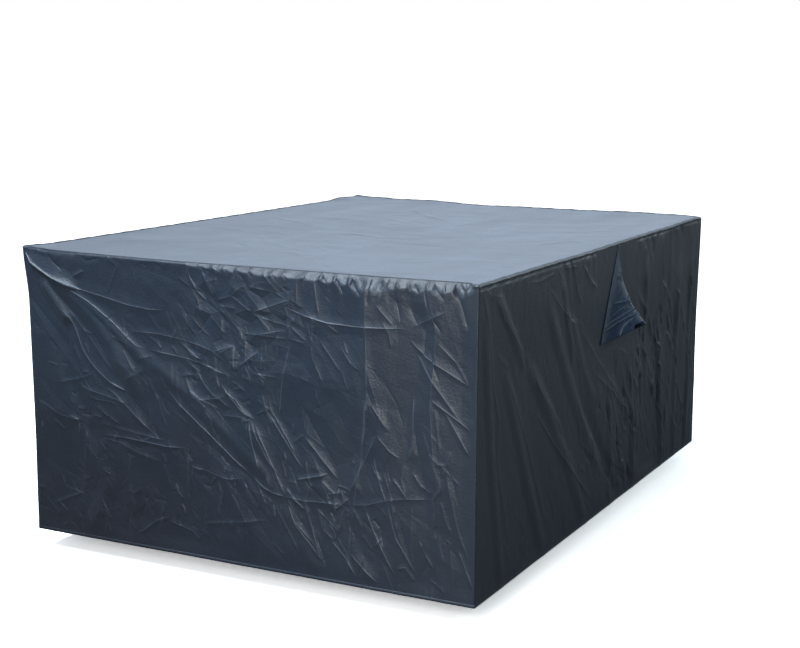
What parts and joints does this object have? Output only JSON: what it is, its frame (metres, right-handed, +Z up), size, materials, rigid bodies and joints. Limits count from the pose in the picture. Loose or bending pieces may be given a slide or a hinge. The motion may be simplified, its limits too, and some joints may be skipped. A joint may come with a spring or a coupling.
{
  "type": "fitted patio furniture cover",
  "caption": "Box-shaped fitted cloth cover, hollow and open below, with sewn top and walls and a hooded air vent on one long side.",
  "frame": {"origin": "on the underside of the top panel, in its middle, where the furniture carries the cover", "axes": "+Z up, +X along the front panel, +Y from the front panel to the back; the vent is on the +X wall"},
  "size_m": [1.5984, 2.0188, 0.885],
  "materials": {
    "wall_cloth": "satin",
    "top_cloth": "satin",
    "hood_cloth": "satin"
  },
  "bodies": {
    "root": {"top_panel": "top_cloth", "front_panel": "wall_cloth", "right_panel": "wall_cloth", "back_panel": "wall_cloth", "left_panel": "wall_cloth", "vent_hood": "hood_cloth"}
  },
  "joints": []
}
